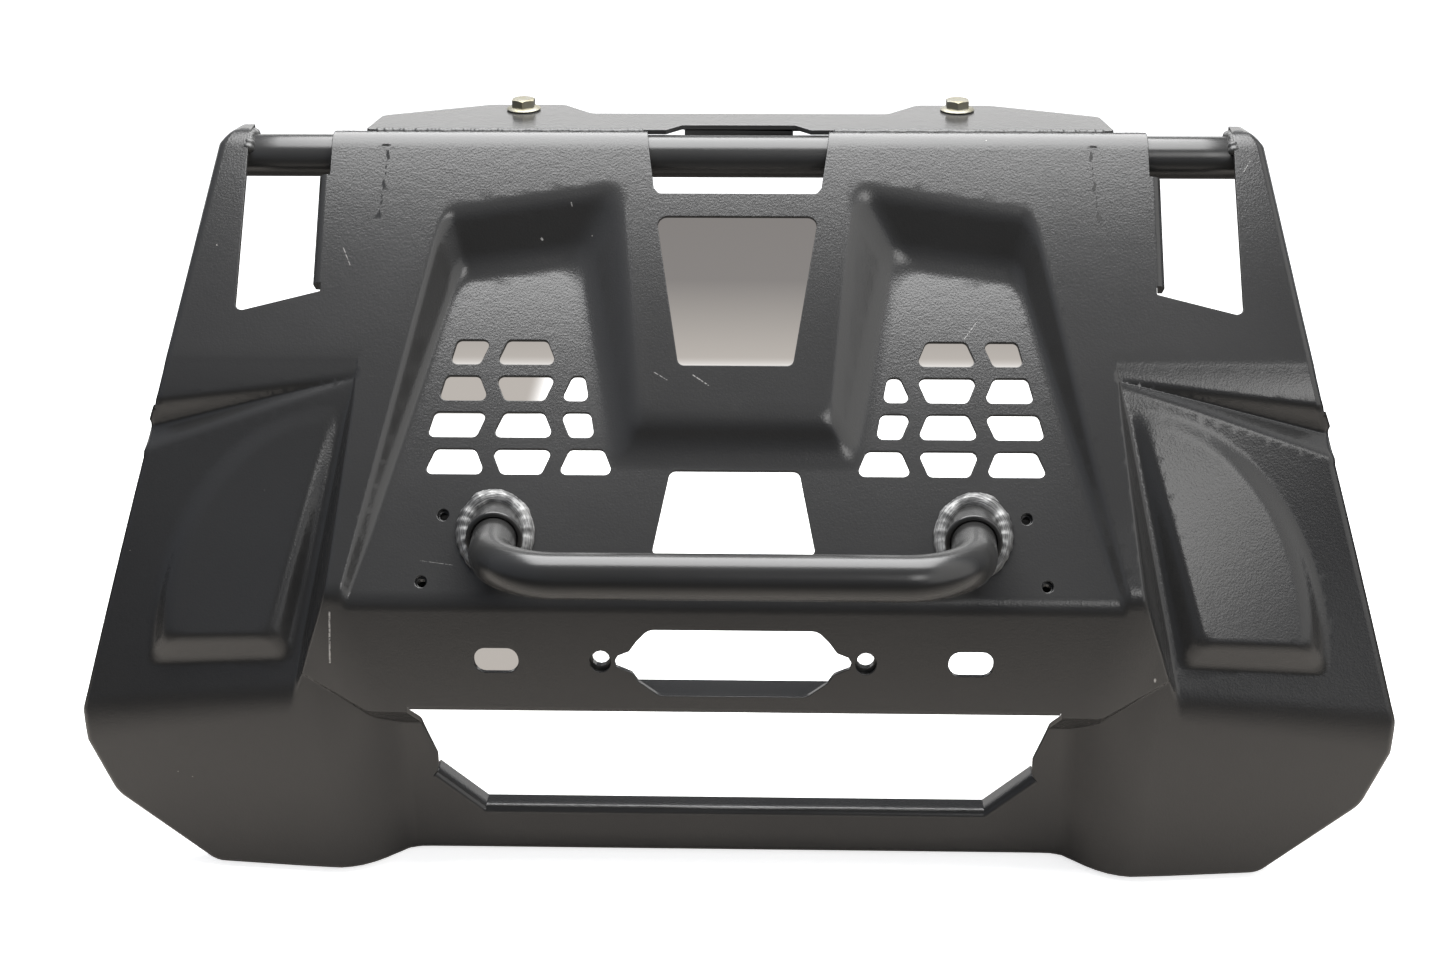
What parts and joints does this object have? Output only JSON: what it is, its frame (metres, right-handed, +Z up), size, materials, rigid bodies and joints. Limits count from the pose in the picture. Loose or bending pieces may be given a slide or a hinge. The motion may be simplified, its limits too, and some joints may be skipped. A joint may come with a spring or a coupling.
{
  "type": "atv front bumper",
  "caption": "Pressed steel front bumper for an all-terrain vehicle, with recessed grilles, a winch fairlead opening, a bent bull bar and a bolted mounting plate.",
  "frame": {"origin": "on the axis of the cross tube, at its middle", "axes": "+X towards the right as seen from the front, +Y back towards the vehicle, +Z up; the front faces -Y"},
  "size_m": [0.781, 0.3023, 0.4225],
  "materials": {
    "sheet_paint": "satin black powder coat",
    "tube_paint": "satin black powder coat, a little smoother",
    "weld": "thinly coated weld bead with bare grey streaks",
    "zinc_steel": "yellowish zinc plate"
  },
  "bodies": {
    "root": {"shell": "sheet_paint", "top_tube": "tube_paint", "top_plate": "sheet_paint", "top_weld_left": "weld", "top_weld_right": "weld", "bolt_left": "zinc_steel", "bolt_right": "zinc_steel", "nut_left": "zinc_steel", "nut_right": "zinc_steel", "bull_bar": "tube_paint", "collar_left": "tube_paint", "collar_right": "tube_paint", "leg_weld_left": "weld", "leg_weld_right": "weld", "fairlead_nut_left": "zinc_steel", "fairlead_nut_right": "zinc_steel", "bracket_left": "sheet_paint", "bracket_right": "sheet_paint", "small_nut_upper_left": "zinc_steel", "small_nut_upper_right": "zinc_steel", "small_nut_lower_left": "zinc_steel", "small_nut_lower_right": "zinc_steel"}
  },
  "joints": []
}
